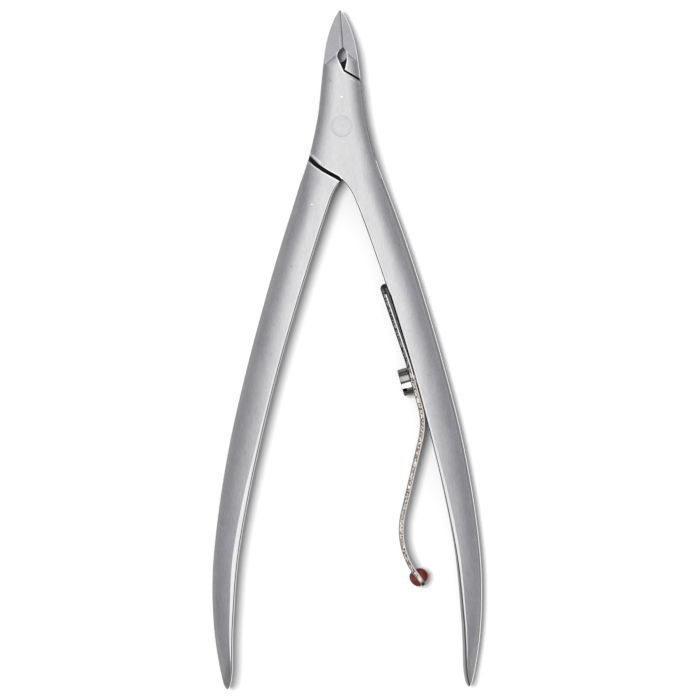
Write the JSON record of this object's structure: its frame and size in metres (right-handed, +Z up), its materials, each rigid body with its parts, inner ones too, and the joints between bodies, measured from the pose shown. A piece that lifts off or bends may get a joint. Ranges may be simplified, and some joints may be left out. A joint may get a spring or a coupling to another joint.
{
  "type": "cuticle nippers",
  "caption": "Pointed steel cuticle nippers with a lap joint, bowed handles and a leaf spring parked along one handle.",
  "frame": {"origin": "On the pivot axis, at the rivet's flush back face, which is the plane the tool lies on.", "axes": "+Y along the tool to the cutting points, +X to the side of the handle that carries the spring, +Z up through the thickness, along the pivot axis, from the back face to the front face."},
  "size_m": [0.0437, 0.1101, 0.006],
  "materials": {
    "satin_steel": "satin ground stainless steel with fine scratches",
    "spring_steel": "blanked spring strip with a warm straw and grey edge",
    "bright_steel": "bright turned screw head",
    "red_plastic": "brick red moulded plastic, slightly worn gloss"
  },
  "bodies": {
    "spring_handle_half": {"front_half": "satin_steel", "pivot_rivet": "satin_steel", "spring_screw": "bright_steel"},
    "plain_handle_half": {"rear_half": "satin_steel"},
    "swing_spring": {"leaf_spring": "spring_steel", "glide_button": "red_plastic"}
  },
  "joints": [
    {"name": "jaw_pivot", "type": "hinge", "parent": "spring_handle_half", "child": "plain_handle_half", "pos_m": [0, 0, 0.003], "axis": [0, 0, -1], "range_deg": [0, 20]},
    {"name": "spring_swing", "type": "hinge", "parent": "spring_handle_half", "child": "swing_spring", "pos_m": [0.01152, -0.0411, 0.003], "axis": [-0.965, -0.2624, 0], "range_deg": [0, 150]}
  ]
}
